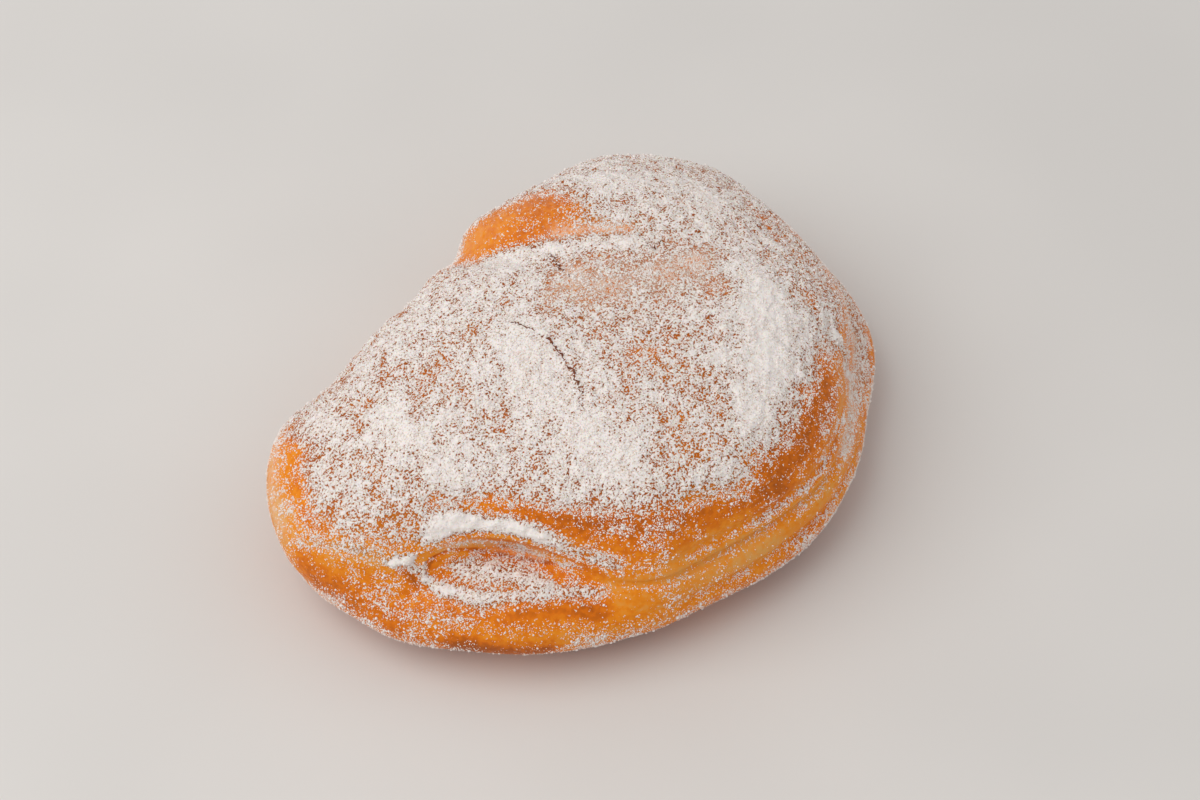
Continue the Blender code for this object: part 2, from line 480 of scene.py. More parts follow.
STROKES = {
    "thin middle of the back": Stroke(Laying.BARE, 7.5, 0.36, ((575, 285), (640, 278), (700, 268))),
    "thin front of the crown": Stroke(Laying.BARE, 4.5, 0.16, ((665, 425), (700, 440), (660, 465))),
    "thin top of the crown": Stroke(Laying.BARE, 4.5, 0.2, ((598, 322), (632, 345), (680, 375))),
    "thin back of the crown": Stroke(Laying.BARE, 4.0, 0.12, ((375, 372), (410, 375), (455, 395))),
    "bare back": Stroke(
        Laying.BARE, 6.0, 0.87, ((462, 259), (479, 240), (502, 223), (532, 211), (558, 207))
    ),
    "bare rim of the back": Stroke(
        Laying.BARE, 3.5, 0.62, ((471, 240), (488, 222), (511, 208), (538, 199))
    ),
    "bare foot of the back": Stroke(
        Laying.BARE, 2.8, 0.62, ((478, 255), (500, 243), (530, 233), (552, 227))
    ),
    "bare back of the valley": Stroke(
        Laying.BARE, 2.0, 0.55, ((480, 250), (520, 238), (566, 230), (631, 229))
    ),
    "bare steep side": Stroke(
        Laying.BARE, 2.7, 0.79, ((440, 500), (480, 506), (540, 518), (620, 520), (700, 515), (722, 511))
    ),
    "bare slope over the mouth": Stroke(Laying.BARE, 3.5, 0.5, ((590, 540), (660, 545), (740, 530))),
    "bare groove on the right": Stroke(
        Laying.BARE, 3.0, 0.7, ((700, 570), (760, 545), (800, 515), (832, 470), (848, 430))
    ),
    "bare fold on the right": Stroke(Laying.BARE, 1.4, 0.5, ((757, 213), (770, 230), (780, 244))),
    "bare nose": Stroke(Laying.BARE, 3.8, 0.82, ((290, 448), (292, 475), (299, 500))),
    "thin side of the nose": Stroke(
        Laying.BARE, 4.0, 0.45, ((275, 450), (272, 488), (279, 522), (302, 556))
    ),
    "thin foot of the nose": Stroke(Laying.BARE, 3.0, 0.25, ((310, 520), (340, 535), (380, 545))),
    "thin left flank": Stroke(Laying.BARE, 5.0, 0.28, ((325, 580), (370, 600), (425, 620))),
    "thin right flank": Stroke(Laying.BARE, 3.0, 0.3, ((740, 575), (790, 548), (830, 505))),
    "thin left shoulder": Stroke(Laying.BARE, 5.0, 0.18, ((330, 500), (380, 520), (420, 500))),
    "thin shelf": Stroke(Laying.BARE, 5.0, 0.5, ((440, 572), (520, 580), (600, 585))),
    "white side of the crown": Stroke(
        Laying.WHITER, 6.5, 1.0, ((752, 275), (775, 320), (772, 365), (752, 405))
    ),
    "whitest spot": Stroke(Laying.DRIFT, 4.6, 0.22, ((764, 300), (770, 365))),
    "bare right": Stroke(
        Laying.BARE, 4.2, 0.8, ((772, 474), (794, 452), (811, 426), (822, 395), (829, 372))
    ),
    "white left shoulder": Stroke(Laying.WHITER, 5.5, 0.85, ((398, 422), (425, 455), (458, 480))),
    "clot on the left shoulder": Stroke(Laying.WHITER, 2.5, 0.7, ((318, 418), (335, 430))),
    "white middle of the crown": Stroke(
        Laying.WHITER, 7.5, 1.0, ((515, 345), (555, 400), (590, 440), (612, 462))
    ),
    "white left of the crown": Stroke(Laying.WHITER, 6.5, 0.45, ((395, 340), (435, 325), (470, 300))),
    "white top of the crown": Stroke(Laying.WHITER, 5.0, 0.75, ((470, 290), (500, 270), (530, 265))),
    "white side of the valley": Stroke(
        Laying.WHITER, 2.2, 1.0, ((478, 268), (500, 260), (560, 249), (640, 243))
    ),
    "white back mound": Stroke(Laying.WHITER, 6.5, 0.85, ((600, 180), (660, 185), (700, 195))),
    "sugar on the ledge": Stroke(Laying.DRIFT, 1.6, 0.6, ((836, 335), (846, 365))),
    "sugar on the right rim": Stroke(
        Laying.WHITER, 2.0, 0.25, ((846, 330), (851, 385), (851, 420), (845, 452))
    ),
    "sugar on the left ridge": Stroke(Laying.DRIFT, 1.4, 0.22, ((296, 541), (350, 547), (398, 560))),
    "heap on the lip": Stroke(Laying.DRIFT, 2.6, 0.8, ((430, 535), (441, 527), (456, 524))),
    "sugar on the lip": Stroke(Laying.DRIFT, 1.7, 0.9, ((440, 524), (476, 520), (510, 525), (540, 536))),
    "sugar on the lip's tail": Stroke(
        Laying.DRIFT, 2.0, 0.45, ((530, 530), (560, 543), (585, 554), (614, 564))
    ),
    "shelf": Stroke(Laying.WHITER, 2.1, 0.8, ((456, 568), (485, 570), (520, 577), (545, 586))),
    "sugar on the shelf": Stroke(
        Laying.DRIFT, 1.3, 0.4, ((448, 590), (480, 600), (520, 599), (560, 594), (602, 590))
    ),
    "sugar round the corner of the shelf": Stroke(
        Laying.DRIFT, 1.0, 0.45, ((423, 566), (425, 577), (435, 586), (450, 593))
    ),
    "bare back of the shelf": Stroke(Laying.BARE, 1.7, 0.85, ((470, 549), (510, 552), (550, 562))),
    "bare spot on the shelf": Stroke(Laying.BARE, 1.1, 0.7, ((434, 571), (447, 573))),
    "bare end of the shelf": Stroke(Laying.BARE, 1.6, 0.65, ((552, 573), (580, 579), (604, 580))),
    "clot beside the mouth": Stroke(Laying.DRIFT, 1.0, 1.1, ((393, 563), (400, 560), (411, 558))),
    "grains beside the mouth": Stroke(Laying.DRIFT, 1.0, 0.55, ((408, 562), (417, 570), (424, 578))),
    "wall of the mouth": Stroke(
        Laying.WHITER, 1.2, 0.26, ((450, 545), (476, 540), (505, 544), (540, 555), (580, 568))
    ),
    "bare side under the shelf": Stroke(Laying.BARE, 2.6, 0.65, ((405, 592), (440, 606), (490, 622))),
    "bare edge under the mouth": Stroke(
        Laying.BARE, 3.2, 0.96, ((505, 618), (540, 614), (600, 614), (650, 604))
    ),
    "bare foot": Stroke(Laying.BARE, 3.0, 0.55, ((450, 640), (500, 648), (560, 643))),
    "barest foot": Stroke(Laying.BARE, 3.6, 0.65, ((490, 646), (535, 648))),
    "bare pale side": Stroke(Laying.BARE, 3.0, 0.55, ((620, 600), (700, 568), (780, 535))),
    "melted sugar": Stroke(Laying.FILM, 8.0, 1.05, ((570, 285), (640, 280), (705, 265))),
    "melted sugar by the valley": Stroke(Laying.FILM, 2.2, 0.6, ((560, 232), (630, 229))),
    "veil on the back": Stroke(Laying.FILM, 5.0, 0.12, ((464, 250), (484, 228), (512, 208), (545, 200))),
    "veil in the mouth": Stroke(Laying.FILM, 1.4, 0.34, ((446, 547), (476, 541), (505, 545), (540, 556))),
    "veil on the nose": Stroke(Laying.FILM, 2.4, 0.4, ((274, 455), (271, 490), (280, 525))),
    "veil on the right rim": Stroke(
        Laying.FILM, 2.6, 0.85, ((852, 330), (856, 370), (852, 410), (843, 447))
    ),
    "crease inside the mouth": Stroke(
        Laying.DENT, 0.5, 0.45, (
            (422, 573), (427, 562), (436, 556), (451, 550), (476, 550),
            (502, 554), (525, 558), (552, 563), (585, 571),
        ), True
    ),
    "crack in the crown": Stroke(
        Laying.CRACK, 0.22, 1.0, (
            (504, 321), (518, 326), (527, 328), (537, 333), (548, 340),
            (558, 351), (567, 362), (575, 376), (581, 393), (583, 412),
        ), True
    ),
    "crack by the valley": Stroke(Laying.CRACK, 0.2, 1.0, ((552, 255), (561, 268), (570, 280)), True),
    "short crack by the valley": Stroke(Laying.CRACK, 0.2, 1.0, ((640, 246), (652, 249), (663, 240)), True),
    "pale side": Stroke(Laying.PALE, 4.5, 0.8, ((620, 592), (700, 566), (780, 530), (820, 490))),
    "pale left ridge": Stroke(Laying.PALE, 2.5, 0.35, ((296, 541), (350, 549), (398, 562))),
    "golden back": Stroke(Laying.PALE, 6.0, 0.45, ((464, 254), (481, 238), (505, 220))),
    "yellow nose": Stroke(Laying.PALE, 6.0, 0.6, ((277, 462), (280, 505))),
    "yellow wall of the mouth": Stroke(
        Laying.PALE, 1.5, 0.8, ((440, 551), (476, 545), (520, 551), (560, 563))
    ),
    "brown underside": Stroke(Laying.BROWNED_AND_SHADED, 3.0, 1.0, ((465, 648), (500, 652), (545, 650))),
    "brown right side": Stroke(Laying.BROWNED_AND_SHADED, 4.5, 0.3, ((772, 472), (804, 440), (826, 395))),
    # Partly painted shade: browner crust along the edge under the mouth, which faces down into shade.
    "browner edge with painted shade under the mouth": Stroke(Laying.BROWNED_AND_SHADED, 2.5, 0.35, ((520, 612), (560, 611), (605, 610))),
    "brown nose": Stroke(Laying.BROWNED_AND_SHADED, 2.2, 0.8, ((294, 434), (318, 436))),
    # Painted shade: darker crust in the corner under the lip, where shade falls.
    "painted shade in the corner of the mouth": Stroke(Laying.BROWNED_AND_SHADED, 1.5, 0.7, ((400, 568), (408, 573), (414, 582))),
    "brown foot on the left": Stroke(
        Laying.BROWNED_AND_SHADED, 3.6, 0.45, ((302, 553), (320, 584), (353, 608), (403, 632), (460, 646))
    ),
    # Painted shade: darker crust along the crease under the lip, where shade falls.
    "painted shade in the crease of the mouth": Stroke(
        Laying.BROWNED_AND_SHADED, 0.6, 0.8, ((423, 572), (436, 556), (451, 550), (476, 550), (502, 554), (552, 563))
    ),
    # Painted shade: darker crust along the shallow fold on the right, standing for its shade.
    "painted shade in the fold on the right": Stroke(Laying.BROWNED_AND_SHADED, 2.0, 0.5, ((757, 213), (770, 230), (780, 244))),
    "brown steep side": Stroke(Laying.BROWNED_AND_SHADED, 3.5, 0.46, ((520, 520), (620, 522), (700, 518), (780, 490))),
}


@dataclass(frozen=True)
class Dusting:
    """How much sugar lies on the skin before any stroke, as shares that it hides.

    A slope is how much the skin faces up, from -1 to 1. An onset is the place where an effect
    starts, and its run is how far on it is full.
    """

    lying: float = 0.60
    lying_onset: float = 0.34
    lying_run: float = 0.54
    lying_power: float = 1.1
    rear_gain: float = 0.36
    rear_onset: float = -4.0 * MM
    rear_run: float = 30.0 * MM
    nose_end: float = -66.0 * MM
    nose_run: float = 22.0 * MM
    sticking: float = 0.15
    sticking_change: float = 0.10
    foot: float = 0.24
    foot_height: float = 19.0 * MM
    foot_run: float = 12.0 * MM
    patches: float = 0.09
    small_patches: float = 0.07
    patches_on_sides: float = 0.35
    full_cover: float = 0.96
    full_cover_change: float = 0.5
    drift_change: float = 0.35
    edge_change: float = 0.10

    def lies(self, points: np.ndarray, up: np.ndarray) -> np.ndarray:
        """The share that sieved sugar hides, more of it on the far side than on the near one.

        Args:
            points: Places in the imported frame, one row each.
            up: The skin's slope at each.

        Returns:
            One share for each point.
        """
        rear = eased((points[:, 1] - self.rear_onset) / self.rear_run)
        rear = rear * eased((points[:, 0] - self.nose_end) / self.nose_run)
        lying = eased((up - self.lying_onset + self.rear_gain * rear) / self.lying_run)
        lying = self.lying * lying ** self.lying_power
        sticking = self.sticking + self.sticking_change * noise_at(points, 5.0 * MM, Pattern.STICKING)
        sticking = sticking * eased((up + 0.45) / 0.5)
        foot = self.foot * eased((self.foot_height - points[:, 2]) / self.foot_run)
        return lying + sticking + foot * eased((up + 0.9) / 0.5)

    def patchiness(self, points: np.ndarray) -> np.ndarray:
        """How the share changes from place to place."""
        patchy = self.patches * noise_at(points, 8.0 * MM, Pattern.PATCHES)
        return patchy + self.small_patches * noise_at(points, 3.6 * MM, Pattern.SMALL_PATCHES)


@dataclass(frozen=True)
class Frying:
    """How brown the crust is before the shader's own pattern, from 0 to 1, painted shade from some strokes
    included.
    """

    base: float = 0.21
    underneath: float = 0.20
    on_top: float = 0.16
    foot: float = 0.42
    foot_height: float = 9.0 * MM
    foot_run: float = 10.0 * MM
    browner: float = 0.55
    paler: float = 0.42

    def brownness(self, surface: "Surface", places: np.ndarray, up: np.ndarray) -> np.ndarray:
        """How brown the crust is at places of the skin, with painted shade from some strokes counted as
        brown.

        Args:
            surface: The skin.
            places: Where, one row each.
            up: How much the skin faces up there.

        Returns:
            One value for each place.
        """
        brown_and_shade = self.base + self.underneath * eased(-up) + self.on_top * eased((up - 0.3) / 0.5)
        brown_and_shade = brown_and_shade + self.foot * eased((self.foot_height - places[:, 2]) / self.foot_run)
        # The browning strokes add real browning, and painted shade in the mouth's crease and corner, the
        # fold on the right and the edge under the mouth.
        brown_and_shade = brown_and_shade + surface.total(places, Laying.BROWNED_AND_SHADED) * self.browner
        brown_and_shade = brown_and_shade - surface.total(places, Laying.PALE) * self.paler
        return np.clip(brown_and_shade, 0.0, 1.0)


class Surface:
    """The crust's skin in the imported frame, and what lies where on it."""

    def __init__(self, form: DoughForm, view: PhotoView, dusting: Dusting) -> None:
        """Keeps the form, the view that the strokes are read in and the plain dusting."""
        self.form = form
        self.view = view
        self.dusting = dusting
        self.shift = np.zeros(3)
        self.paths: dict[str, np.ndarray] = {}

    def cube(self, cuts: int) -> bmesh.types.BMesh:
        """A cube with each edge cut into equal lengths, ready to be moved out to the skin."""
        shape = bmesh.new()
        bmesh.ops.create_cube(shape, size=2.0)
        bmesh.ops.subdivide_edges(shape, edges=shape.edges[:], cuts=cuts, use_grid_fill=True)
        return shape

    def cast(self, shape: bmesh.types.BMesh) -> np.ndarray:
        """The skin's places for a cut cube's vertices, in the form's own frame."""
        return self.form.skin(self.form.directions(corners_of(shape)))

    def settle(self, points: np.ndarray) -> None:
        """Works out how the form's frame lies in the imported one, from the skin's extent."""
        low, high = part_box("dough")
        skin_low, skin_high = points.min(axis=0), points.max(axis=0)
        middle = (np.array(low) + np.array(high)) / 2 - (skin_low + skin_high) / 2
        self.shift = np.array([middle[0], middle[1], low.z - skin_low[2]])

    def heart(self) -> np.ndarray:
        """The point inside the dough that every part of the skin faces away from."""
        return np.asarray(self.form.inner_point) + self.shift

    def read_strokes(self, skin: BVHTree) -> None:
        """Casts each stroke's pixels onto the finished skin.

        Args:
            skin: The crust's faces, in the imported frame.
        """
        for name, stroke in STROKES.items():
            spots = []
            for pixel in stroke.path:
                hit = skin.ray_cast(self.view.place(), self.view.ray(pixel))[0]
                if hit is None:
                    log.warning("%s: pixel %s misses the crust", name, pixel)
                else:
                    spots.append(hit[:])
            self.paths[name] = np.array(spots)

    def felt(self, points: np.ndarray, name: str) -> np.ndarray:
        """How strongly one stroke is felt at points of the skin.

        Args:
            points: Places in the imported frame, one row each.
            name: The stroke's name.

        Returns:
            One value for each point, at most the stroke's amount.
        """
        stroke = STROKES[name]
        gap, share = along(points, self.paths[name])
        width = stroke.width * MM
        if stroke.tapered:
            width = width * (0.25 + 0.75 * np.sin(math.pi * np.clip(share, 0.02, 0.98)))
        return stroke.amount * np.exp(-((gap / width) ** 2))

    def total(self, points: np.ndarray, laying: Laying) -> np.ndarray:
        """The sum of one kind of stroke at points of the skin."""
        names = [name for name, stroke in STROKES.items() if stroke.laying is laying]
        return sum((self.felt(points, name) for name in names), np.zeros(len(points)))

    def dented(self, points: np.ndarray, normals: np.ndarray) -> np.ndarray:
        """Places of the skin, moved inwards where a groove runs.

        Args:
            points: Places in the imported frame, one row each.
            normals: The skin's outward directions there.

        Returns:
            The moved places.
        """
        depth = self.total(points, Laying.DENT) * MM
        return points - normals * depth[:, None]

    def coverage(self, points: np.ndarray, up: np.ndarray) -> np.ndarray:
        """The share of the skin that sugar hides at points of it, over 1 where it lies thick.

        The strokes are laid in the order of their list.

        Args:
            points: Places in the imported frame, one row each.
            up: How much the skin faces up at each, from -1 to 1.

        Returns:
            One share for each point.
        """
        plain = self.dusting
        patchy = plain.patchiness(points)
        on_sides = plain.patches_on_sides
        share = plain.lies(points, up) + patchy * (on_sides + (1.0 - on_sides) * eased((up - 0.2) / 0.4))
        uneven = 1.0 + plain.drift_change * noise_at(points, 1.7 * MM, Pattern.DRIFTS)
        ragged = 1.0 + plain.edge_change * noise_at(points, 2.6 * MM, Pattern.EDGES)
        for name, stroke in STROKES.items():
            if stroke.laying is Laying.DRIFT:
                share = share + self.felt(points, name) * uneven
            elif stroke.laying is Laying.WHITER:
                full = plain.full_cover + plain.full_cover_change * patchy
                share = share + (full - share) * self.felt(points, name)
            elif stroke.laying is Laying.BARE:
                share = share * (1.0 - np.minimum(self.felt(points, name) * ragged, 1.0))
        return share


@dataclass(frozen=True)
class CoatTexture:
    """How sugar heaps up where it lies thick: in soft mounds with finer clots on them.

    The crumbs are finer than the coat's faces, so they only roughen it.
    """

    thinnest: float = 0.42
    rise: float = 0.45 * MM
    drift_rise: float = 0.30 * MM
    mound: float = 2.1 * MM
    mound_height: float = 0.25 * MM
    clot: float = 0.95 * MM
    clot_height: float = 0.12 * MM
    crumb: float = 0.55 * MM
    crumb_height: float = 0.07 * MM
    buried: float = 0.12 * MM
    thickest: float = 1.0 * MM

    def thickness(self, points: np.ndarray, coverage: np.ndarray) -> np.ndarray:
        """How high the sugar stands over the skin at points of it, negative where it is too thin.

        Args:
            points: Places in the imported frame, one row each.
            coverage: The share of the skin that sugar hides there.

        Returns:
            One thickness for each point, in metres.
        """
        over = coverage - self.thinnest
        lies = eased(over / 0.35)
        stands = self.rise * eased(over / 0.7) + self.drift_rise * eased((coverage - 1.0) / 0.8)
        stands += lies * self.mound_height * noise_at(points, self.mound, Pattern.MOUNDS)
        stands += lies * self.clot_height * noise_at(points, self.clot, Pattern.CLOTS)
        stands += lies * self.crumb_height * noise_at(points, self.crumb, Pattern.ROUGHNESS)
        return np.clip(stands - self.buried * (1.0 - eased(over / 0.12)), -self.buried, self.thickest)


@dataclass(frozen=True)
class Grain:
    """A noise over the object, read as a mask.

    It has so many cells in each metre and so many finer patterns on them, reads as 0 and 1 at
    its low and high noise, and lies closer along the axes that are stretched more.
    """

    scale: float
    detail: float
    low: float
    high: float
    stretch: Point = (1.0, 1.0, 1.0)


class Finish:
    """Shared work of making a node material."""

    @staticmethod
    def blank(name: str) -> tuple[bpy.types.Material, bpy.types.ShaderNodeTree, bpy.types.ShaderNode]:
        """A new node material, its tree and its shader."""
        material = bpy.data.materials.new(name)
        material.use_nodes = True
        tree = material.node_tree
        return material, tree, tree.nodes["Principled BSDF"]

    @staticmethod
    def grain_group() -> bpy.types.ShaderNodeTree:
        """The node group that reads a noise over the object as a mask between two levels."""
        found = bpy.data.node_groups.get("grain")
        if found:
            return found
        group = bpy.data.node_groups.new("grain", "ShaderNodeTree")
        for name, start in (("Scale", 500.0), ("Detail", 3.0), ("Low", 0.4), ("High", 0.6)):
            socket = group.interface.new_socket(name, in_out="INPUT", socket_type="NodeSocketFloat")
            socket.default_value = start
        stretch = group.interface.new_socket("Stretch", in_out="INPUT", socket_type="NodeSocketVector")
        stretch.default_value = (1.0, 1.0, 1.0)
        group.interface.new_socket("Mask", in_out="OUTPUT", socket_type="NodeSocketFloat")
        source = group.nodes.new("NodeGroupInput")
        sink = group.nodes.new("NodeGroupOutput")
        place = group.nodes.new("ShaderNodeTexCoord")
        turned = group.nodes.new("ShaderNodeMapping")
        pattern = group.nodes.new("ShaderNodeTexNoise")
        levels = group.nodes.new("ShaderNodeMapRange")
        levels.interpolation_type = "SMOOTHSTEP"
        group.links.new(place.outputs["Object"], turned.inputs["Vector"])
        group.links.new(source.outputs["Stretch"], turned.inputs["Scale"])
        group.links.new(turned.outputs["Vector"], pattern.inputs["Vector"])
        group.links.new(source.outputs["Scale"], pattern.inputs["Scale"])
        group.links.new(source.outputs["Detail"], pattern.inputs["Detail"])
        group.links.new(pattern.outputs["Fac"], levels.inputs["Value"])
        group.links.new(source.outputs["Low"], levels.inputs["From Min"])
        group.links.new(source.outputs["High"], levels.inputs["From Max"])
        group.links.new(levels.outputs["Result"], sink.inputs["Mask"])
        return group

    @staticmethod
    def sugar_group() -> bpy.types.ShaderNodeTree:
        """The node group that says where fine sugar hides the crust, from the share that it covers.

        Its gaps are a tenth to half a millimetre wide and gather in clusters.
        """
        group = bpy.data.node_groups.new("fine sugar", "ShaderNodeTree")
        group.interface.new_socket("Coverage", in_out="INPUT", socket_type="NodeSocketFloat")
        group.interface.new_socket("Mask", in_out="OUTPUT", socket_type="NodeSocketFloat")
        group.interface.new_socket("Height", in_out="OUTPUT", socket_type="NodeSocketFloat")
        source = group.nodes.new("NodeGroupInput")
        sink = group.nodes.new("NodeGroupOutput")
        place = group.nodes.new("ShaderNodeTexCoord").outputs["Object"]
        shares = ((2250.0, 1.5, 0.72), (1050.0, 1.0, 0.28), (380.0, 2.0, 0.27))
        mixed = -0.5 * sum(share for _, _, share in shares)
        for scale, detail, share in shares:
            pattern = group.nodes.new("ShaderNodeTexNoise")
            pattern.inputs["Scale"].default_value = scale
            pattern.inputs["Detail"].default_value = detail
            pattern.inputs["Roughness"].default_value = 0.6
            group.links.new(place, pattern.inputs["Vector"])
            mixed = Finish.math(group, "MULTIPLY_ADD", pattern.outputs["Fac"], share, mixed)
        even = Finish.levels(group, mixed, -0.20, 0.20)
        over = Finish.math(group, "SUBTRACT", source.outputs["Coverage"], even)
        for low, high, name in ((-0.02, 0.035, "Mask"), (-0.05, 0.55, "Height")):
            group.links.new(Finish.levels(group, over, low, high), sink.inputs[name])
        return group

    @classmethod
    def grain(cls, tree: bpy.types.ShaderNodeTree, pattern: Grain) -> bpy.types.NodeSocket:
        """One use of the grain group in a material.

        Args:
            tree: The material's nodes.
            pattern: The noise that it reads.

        Returns:
            The mask's socket.
        """
        node = tree.nodes.new("ShaderNodeGroup")
        node.node_tree = cls.grain_group()
        node.inputs["Scale"].default_value = pattern.scale
        node.inputs["Detail"].default_value = pattern.detail
        node.inputs["Low"].default_value = pattern.low
        node.inputs["High"].default_value = pattern.high
        node.inputs["Stretch"].default_value = pattern.stretch
        return node.outputs["Mask"]

    @staticmethod
    def attribute(tree: bpy.types.ShaderNodeTree, name: str) -> bpy.types.NodeSocket:
        """A value that the mesh holds at its vertices."""
        node = tree.nodes.new("ShaderNodeAttribute")
        node.attribute_name = name
        return node.outputs["Fac"]

    @staticmethod
    def math(
        tree: bpy.types.ShaderNodeTree, operation: str, *values: bpy.types.NodeSocket | float
    ) -> bpy.types.NodeSocket:
        """One operation on sockets and numbers.

        Args:
            tree: The nodes that it joins.
            operation: The operation's name.
            values: What it works on, in order.

        Returns:
            The result's socket.
        """
        node = tree.nodes.new("ShaderNodeMath")
        node.operation = operation
        for place, value in enumerate(values):
            if isinstance(value, bpy.types.NodeSocket):
                tree.links.new(value, node.inputs[place])
            else:
                node.inputs[place].default_value = value
        return node.outputs["Value"]

    @staticmethod
    def levels(
        tree: bpy.types.ShaderNodeTree,
        value: bpy.types.NodeSocket,
        low: float,
        high: float,
        smooth: bool = True,
    ) -> bpy.types.NodeSocket:
        """A value read from 0 at one level to 1 at another.

        Args:
            tree: The nodes that it joins.
            value: What is read.
            low: The level that reads as 0.
            high: The level that reads as 1.
            smooth: Whether it eases in and out at the two levels.

        Returns:
            The result's socket.
        """
        node = tree.nodes.new("ShaderNodeMapRange")
        node.interpolation_type = "SMOOTHSTEP" if smooth else "LINEAR"
        node.inputs["From Min"].default_value = low
        node.inputs["From Max"].default_value = high
        tree.links.new(value, node.inputs["Value"])
        return node.outputs["Result"]

    @staticmethod
    def ramp(
        tree: bpy.types.ShaderNodeTree, value: bpy.types.NodeSocket, stops: tuple[tuple[float, Colour], ...]
    ) -> bpy.types.NodeSocket:
        """Colours read along a value.

        Args:
            tree: The material's nodes.
            value: What is read, from 0 to 1.
            stops: Each stop's place and colour, in order.

        Returns:
            The colour's socket.
        """
        node = tree.nodes.new("ShaderNodeValToRGB")
        band = node.color_ramp
        band.elements[0].position, band.elements[0].color = stops[0]
        band.elements[1].position, band.elements[1].color = stops[-1]
        for place, colour in stops[1:-1]:
            band.elements.new(place).color = colour
        tree.links.new(value, node.inputs["Fac"])
        return node.outputs["Color"]

    @staticmethod
    def mixed(
        tree: bpy.types.ShaderNodeTree,
        share: bpy.types.NodeSocket,
        first: bpy.types.NodeSocket | Colour,
        second: bpy.types.NodeSocket | Colour,
    ) -> bpy.types.NodeSocket:
        """Two colours mixed by a share.

        Args:
            tree: The material's nodes.
            share: How much of the second colour shows.
            first: The first colour, or its socket.
            second: The second colour, or its socket.

        Returns:
            The mixed colour's socket.
        """
        node = tree.nodes.new("ShaderNodeMix")
        node.data_type = "RGBA"
        tree.links.new(share, node.inputs[0])
        for place, colour in ((6, first), (7, second)):
            if isinstance(colour, bpy.types.NodeSocket):
                tree.links.new(colour, node.inputs[place])
            else:
                node.inputs[place].default_value = colour
        return node.outputs[2]

    @staticmethod
    def bump(
        tree: bpy.types.ShaderNodeTree,
        height: bpy.types.NodeSocket,
        distance: float,
        strength: float,
        under: bpy.types.NodeSocket | None = None,
    ) -> bpy.types.NodeSocket:
        """Relief from a height.

        Args:
            tree: The material's nodes.
            height: The relief, from 0 to 1.
            distance: How high 1 stands, in metres.
            strength: How much of it is felt.
            under: A coarser relief that it lies on.

        Returns:
            The normal's socket.
        """
        node = tree.nodes.new("ShaderNodeBump")
        node.inputs["Distance"].default_value = distance
        node.inputs["Strength"].default_value = strength
        tree.links.new(height, node.inputs["Height"])
        if under is not None:
            tree.links.new(under, node.inputs["Normal"])
        return node.outputs["Normal"]


